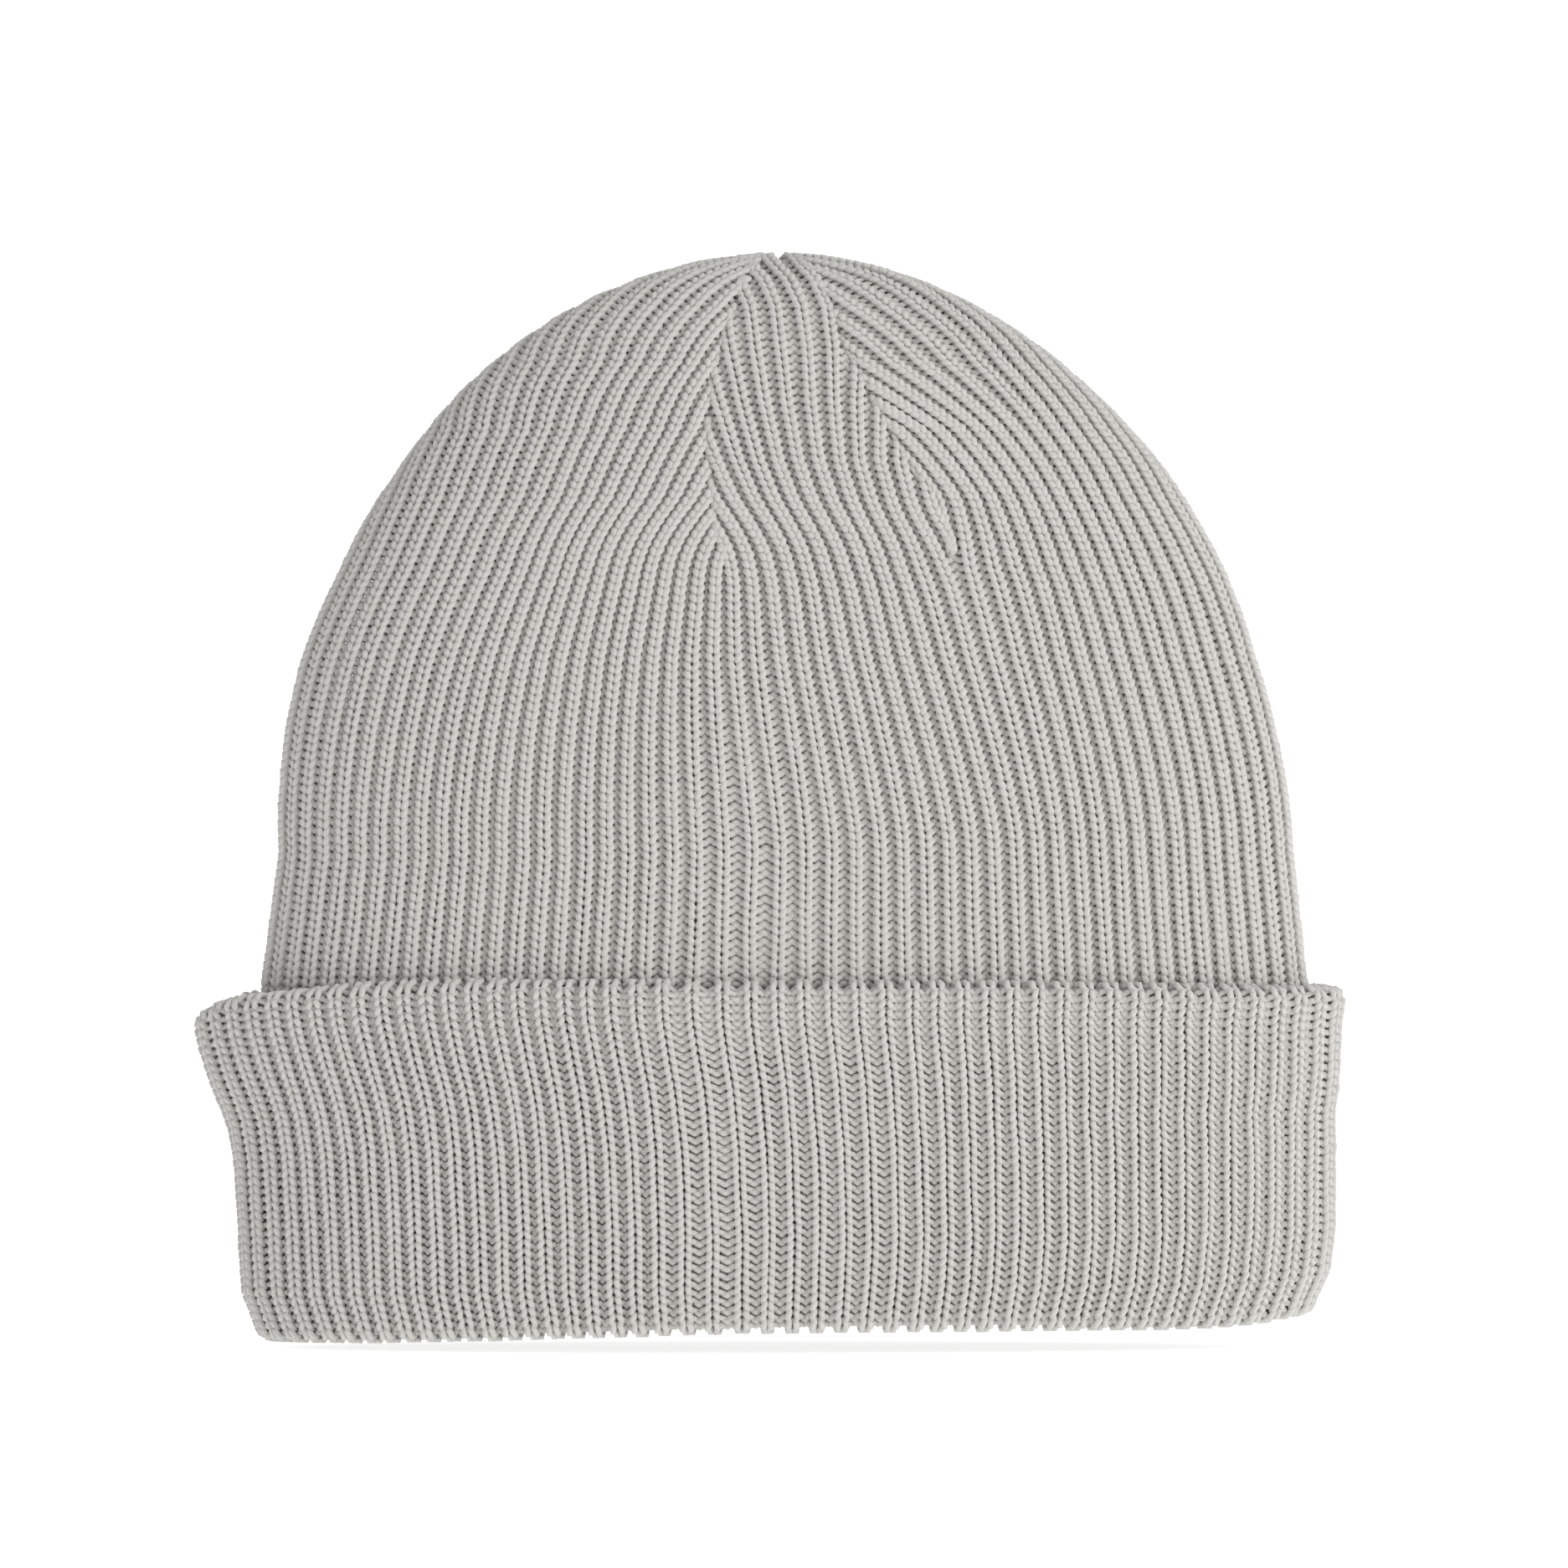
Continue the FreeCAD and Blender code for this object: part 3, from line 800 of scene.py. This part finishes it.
# ---------------------------------------------------------------- seams, inside the hat
SEAM_DEPTH = 2.0
SEAM_HALF_WIDTH = 1.4
SEAM_HALF_HEIGHT = 1.2
SEAM_STITCH = 2.4
SEAM_STEP = 0.2
SEAM_SIDES = 6
SELVEDGE_PLACE = 0.62
SELVEDGE_RADIUS = 0.58
WRAP_RADIUS = 0.24
HOLD_RADIUS = 0.22


def seam_line(share, low, high):
    """Points up the inside of the cloth, the directions out of it and across the seam, and the lengths."""
    inner = np.arange(FOLD_LEVEL, LEVELS)
    level = inner[(ring_z[inner] >= low) & (ring_z[inner] <= high)].astype(float)
    at = share[level.astype(int)]
    path = look_up(surface, at, level)
    along = np.concatenate([[0], np.cumsum(np.linalg.norm(np.diff(path, axis=0), axis=1))])
    grid = np.arange(0, along[-1], SEAM_STEP)
    level = np.interp(grid, along, level)
    at = np.interp(grid, along, at)
    out = look_up(normals, at, level)
    out /= np.linalg.norm(out, axis=1, keepdims=True)
    path = look_up(surface, at, level) - out * SEAM_DEPTH
    way = np.gradient(path, axis=0)
    way /= np.linalg.norm(way, axis=1, keepdims=True)
    return path, out, np.cross(way, out), grid


def seam_piece(node, share, low, high):
    """A linked seam: two turned-in selvedges, wrapped by a slanting thread and held by a straight one."""
    path, out, across, grid = seam_line(share, low, high)
    mesh = Mesh()
    for hand in (-1, 1):
        wave = np.sin(2 * pi * grid / COURSE + hand)
        aside = across * (hand * SELVEDGE_PLACE + 0.1 * wave)[:, None]
        selvedge = path + aside + out * (0.18 * wave)[:, None]
        mesh.tube(selvedge, out, SELVEDGE_RADIUS + 0.06 * wave, SEAM_SIDES)
    turn = 2 * pi * grid / SEAM_STITCH
    aside = across * (SEAM_HALF_WIDTH * np.cos(turn))[:, None]
    wrap = path + aside + out * (SEAM_HALF_HEIGHT * np.sin(turn))[:, None]
    mesh.tube(wrap, out, np.full(len(wrap), WRAP_RADIUS), SEAM_SIDES)
    dip = 0.3 * np.cos(turn) - SEAM_HALF_HEIGHT + 0.1
    mesh.tube(path + out * dip[:, None], across, np.full(len(path), HOLD_RADIUS), SEAM_SIDES)
    finish_piece(mesh, f"{node}_thread", THREAD, [node], "hat")


for node, share in (
    ("dart_seam_front_left", left_dart),
    ("dart_seam_front_right", right_dart),
    ("dart_seam_back_right", left_dart + 0.5),
    ("dart_seam_back_left", right_dart + 0.5),
):
    low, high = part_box(node)
    seam_piece(node, share, low.z / MM, high.z / MM)

low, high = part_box("back_seam")
seam_x = np.interp(ring_z, [CROWN_START - 3, HAT_TOP], [low.x / MM + 1.5, 0.0])
seam_piece("back_seam", front_share(2 * ring_lean - seam_x) + 0.5, low.z / MM, high.z / MM)

# The crown is closed by a wound thread
CLOSING_RADIUS = 0.3
CLOSING_INSET = 0.4
low, high = (Vector(v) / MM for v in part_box("crown_closing_thread"))
middle = (low + high) / 2
turn = np.linspace(0, 9 * pi, 260)
shrink = 1 - turn / 60
reach = (high - low) / 2
closing = np.stack([
    middle.x + (reach.x - CLOSING_INSET) * shrink * np.cos(turn),
    middle.y + (reach.y - CLOSING_INSET) * shrink * np.sin(turn),
    middle.z + 0.7 * np.sin(turn * 0.31 + 1),
], axis=1)
mesh = Mesh()
mesh.tube(closing, np.tile((0.0, 0.0, 1.0), (len(closing), 1)), np.full(len(closing), CLOSING_RADIUS), 7)
finish_piece(mesh, "crown_closing_thread_yarn", THREAD, ["crown_closing_thread"], "hat")


# ---------------------------------------------------------------- care label
LABEL_HALF = 0.2
LABEL_STEP = 0.2
ZIGZAG_PITCH = 1.3
ZIGZAG_HALF_WIDTH = 0.7
ZIGZAG_RADIUS = 0.17
low, high = (Vector(v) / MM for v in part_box("care_label"))
stitch_low, stitch_high = (Vector(v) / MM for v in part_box("label_stitching"))
label_y = (low.y + high.y) / 2
tab_x = stitch_low.x + 0.2


def label_mesh():
    """A blank strip of woven tape, with satin floats in relief and a slight curl at its free end."""
    wide, tall = high.x - tab_x, high.z - low.z
    columns, rows = int(wide / LABEL_STEP), int(tall / LABEL_STEP)
    u, v = np.meshgrid(np.linspace(0, 1, columns + 1), np.linspace(0, 1, rows + 1), indexing="ij")
    i, j = np.meshgrid(np.arange(columns + 1), np.arange(rows + 1), indexing="ij")
    rim = np.minimum(np.minimum(i, columns - i), np.minimum(j, rows - j))
    bend = 0.35 * u**2 * np.sin(2.6 * v + 0.4) - 0.25 * u**3
    weave = 0.045 * np.where((j + 2 * i) % 5 == 0, -1.0, 0.4)
    thick = np.where(rim == 0, 0.0, np.where(rim == 1, 0.75, 1.0)) * (LABEL_HALF + weave)
    points = []
    faces = []
    for hand in (-1, 1):
        side = np.stack([tab_x + wide * u, label_y + bend + hand * thick, low.z + tall * v], axis=2)
        points.append(side.reshape(-1, 3))
    size = (columns + 1) * (rows + 1)
    for hand in (0, 1):
        at = i[:-1, :-1] * (rows + 1) + j[:-1, :-1] + hand * size
        quad = np.stack([at, at + rows + 1, at + rows + 2, at + 1], axis=2).reshape(-1, 4)
        faces.append(quad if hand == 0 else quad[:, ::-1])
    # The two sides share their rim
    faces = np.concatenate(faces)
    shared = np.arange(2 * size)
    edge = (rim == 0).reshape(-1)
    shared[size:][edge] = shared[:size][edge]
    used, faces = np.unique(shared[faces], return_inverse=True)
    faces = faces.reshape(-1)
    mesh = Mesh()
    mesh.points = [np.concatenate(points)[used]]
    mesh.faces = [faces]
    mesh.sizes = [np.full(len(faces) // 4, 4)]
    mesh.uvs = [mesh.points[0][faces][:, [0, 2]]]
    return mesh


label = finish_piece(label_mesh(), "care_label_tape", LABEL, ["care_label"], "label")
stitches = int((stitch_high.z - stitch_low.z) / ZIGZAG_PITCH)
turn = np.linspace(0, stitches * pi, stitches * 14)
side = np.clip(1.35 * np.cos(turn), -1, 1)
deep = smooth(np.abs(np.cos(turn)), 0.8, 1.0)
zigzag = np.stack([
    (stitch_low.x + stitch_high.x) / 2 + ZIGZAG_HALF_WIDTH * side,
    label_y - LABEL_HALF - 0.22 + (stitch_high.y - label_y + LABEL_HALF) * deep,
    np.linspace(stitch_low.z + 0.3, stitch_high.z - 0.3, len(turn)),
], axis=1)
mesh = Mesh()
mesh.tube(zigzag, np.tile((0.0, -1.0, 0.0), (len(zigzag), 1)), np.full(len(zigzag), ZIGZAG_RADIUS), 6)
stitching = finish_piece(mesh, "label_stitching_thread", THREAD, ["label_stitching"], "hat")


# ---------------------------------------------------------------- stage, light and camera
FLOOR_HALF = 4.0
FLOOR_GAP = 0.0015
floor_z = cad_low.z - FLOOR_GAP
corners = [(x * FLOOR_HALF, y * FLOOR_HALF, floor_z) for x, y in ((-1, -1), (1, -1), (1, 1), (-1, 1))]
floor_mesh = bpy.data.meshes.new("floor")
floor_mesh.from_pydata(corners, [], [(0, 1, 2, 3)])
floor = bpy.data.objects.new("floor", floor_mesh)
bpy.context.collection.objects.link(floor)
white = bpy.data.materials.new("floor_white")
white.use_nodes = True
paper = white.node_tree.nodes["Principled BSDF"]
paper.inputs["Base Color"].default_value = (0.6, 0.6, 0.6, 1)
paper.inputs["Roughness"].default_value = 1
paper.inputs["Emission Color"].default_value = (1, 1, 1, 1)
paper.inputs["Emission Strength"].default_value = 0.8
floor_mesh.materials.append(white)
floor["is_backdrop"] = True

scene = bpy.context.scene
scene.view_settings.view_transform = "Standard"
world = bpy.data.worlds.new("studio")
scene.world = world
world.use_nodes = True
tree = world.node_tree
sky = tree.nodes["Background"]
sky.inputs["Color"].default_value = (1, 1, 1, 1)
way = tree.nodes.new("ShaderNodeTexCoord")


def sky_math(operation, source, value):
    """Adds a math node to the studio's light: value is a number or another output."""
    node = tree.nodes.new("ShaderNodeMath")
    node.operation = operation
    tree.links.new(source, node.inputs[0])
    if isinstance(value, float):
        node.inputs[1].default_value = value
    else:
        tree.links.new(value, node.inputs[1])
    return node.outputs[0]


def lobe(direction, power, strength):
    """Light that comes softly from one side of the studio."""
    dot = tree.nodes.new("ShaderNodeVectorMath")
    dot.operation = "DOT_PRODUCT"
    dot.inputs[1].default_value = Vector(direction).normalized()
    tree.links.new(way.outputs["Generated"], dot.inputs[0])
    chain = dot.outputs["Value"]
    for operation, value in (("MAXIMUM", 0.0), ("POWER", power), ("MULTIPLY", strength)):
        chain = sky_math(operation, chain, value)
    return chain


AMBIENT = 0.36
light = AMBIENT
for direction, power, strength in (
    ((0, 1, 0), 3.0, 0.75),
    ((0.1, -0.2, 1), 1.5, 0.4),
    ((0.7, -0.6, 0.45), 4.0, 0.6),
):
    light = sky_math("ADD", lobe(direction, power, strength), light)
tree.links.new(light, sky.inputs["Strength"])

KEY_TARGET = Vector((0, 0, 0.1))
key_light = bpy.data.lights.new("key", "AREA")
key_light.size = 0.6
key_light.energy = 9.5
key = bpy.data.objects.new("key", key_light)
key.location = (1.4, -1.1, 0.7)
key.rotation_euler = (KEY_TARGET - key.location).to_track_quat("-Z", "Y").to_euler()
bpy.context.collection.objects.link(key)

camera_data = bpy.data.cameras.new("camera")
camera_data.lens = 250
camera_data.sensor_width = 36
camera = bpy.data.objects.new("camera", camera_data)
camera.location = (0.0025, -2.128, 0.1085)
camera.rotation_euler = (radians(90), 0, 0)
bpy.context.collection.objects.link(camera)
bpy.context.scene.camera = camera

low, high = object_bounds()
